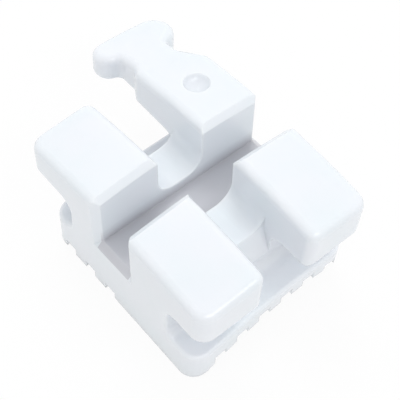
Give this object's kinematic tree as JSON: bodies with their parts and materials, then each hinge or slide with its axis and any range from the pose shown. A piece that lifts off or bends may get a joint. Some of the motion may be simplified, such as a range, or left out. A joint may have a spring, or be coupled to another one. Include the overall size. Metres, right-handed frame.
{
  "type": "orthodontic bracket",
  "caption": "Ceramic orthodontic bracket: arched bonding base with notched edges, undercut waist, tie wings round a straight archwire slot, and an elastic hook on one wing.",
  "frame": {"origin": "on the bonding plane, level with the base's lowest edge and under the middle of the archwire slot", "axes": "+X along the archwire slot, +Y across it towards the wing that has the hook, +Z away from the tooth"},
  "size_m": [0.0027, 0.0041, 0.0019],
  "materials": {
    "white_alumina": "polished, slightly translucent"
  },
  "bodies": {
    "root": {"bracket_body": "white_alumina"}
  },
  "joints": []
}
